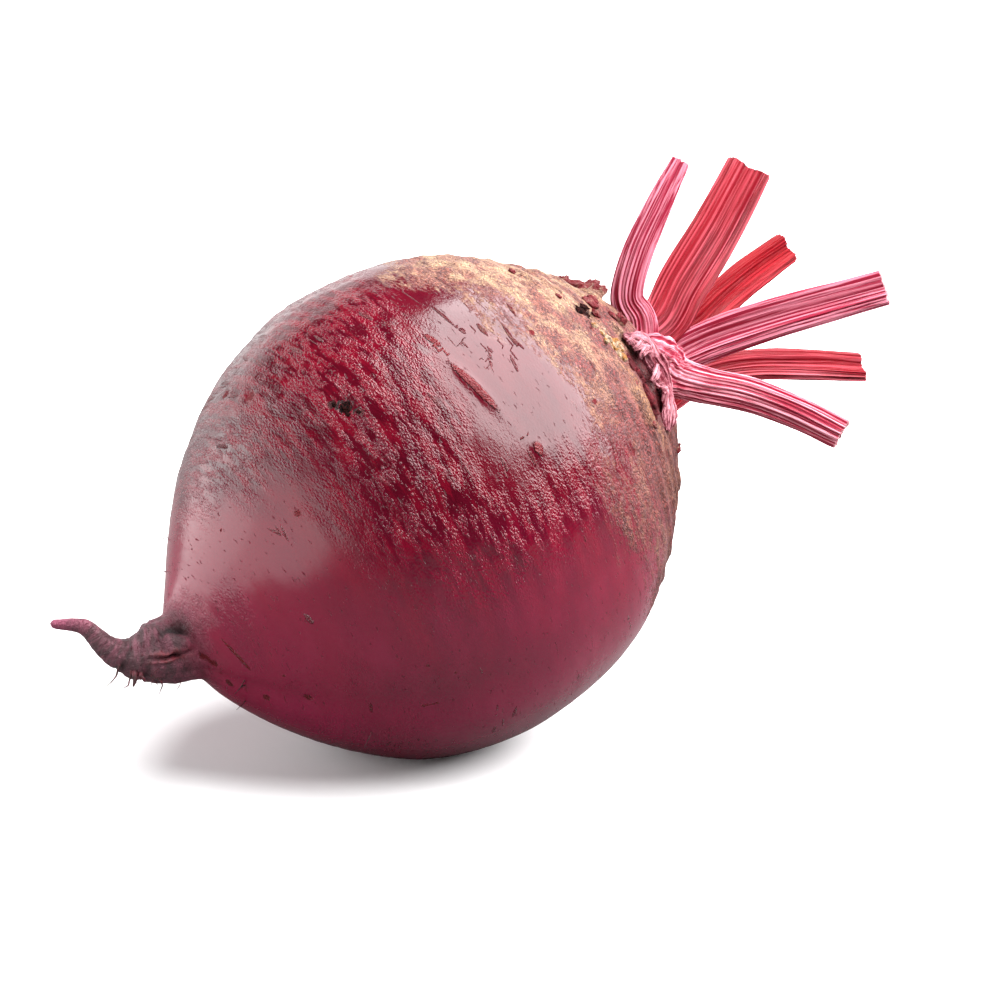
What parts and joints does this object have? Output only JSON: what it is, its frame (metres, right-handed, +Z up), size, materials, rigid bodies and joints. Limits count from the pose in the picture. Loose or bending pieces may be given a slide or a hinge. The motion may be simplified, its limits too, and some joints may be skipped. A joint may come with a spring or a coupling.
{
  "type": "beetroot",
  "caption": "Whole beetroot lying on its side: a round swollen root with a curled tail, a rough corky crown with old leaf bases, and ribbed red leaf stalks cut short.",
  "frame": {"origin": "centre of the small flat spot under the root that it rests on, at the level of the surface", "axes": "+Z up; +X from the tail to the crown, as seen from above; -Z is the way that the rest spot faces"},
  "size_m": [0.1515, 0.0807, 0.0927],
  "materials": {
    "root_skin": "moist, glossy wine-red skin, mottled and finely wrinkled, with pale brown cork round the crown",
    "stalk_skin": "satin crimson with fine pale pink ribs along the stalk"
  },
  "bodies": {
    "root": {"root": "root_skin", "stalk_top_front": "stalk_skin", "stalk_top_broad": "stalk_skin", "stalk_back": "stalk_skin", "stalk_long_broad": "stalk_skin", "stalk_low_back": "stalk_skin", "stalk_low_front": "stalk_skin"}
  },
  "joints": []
}
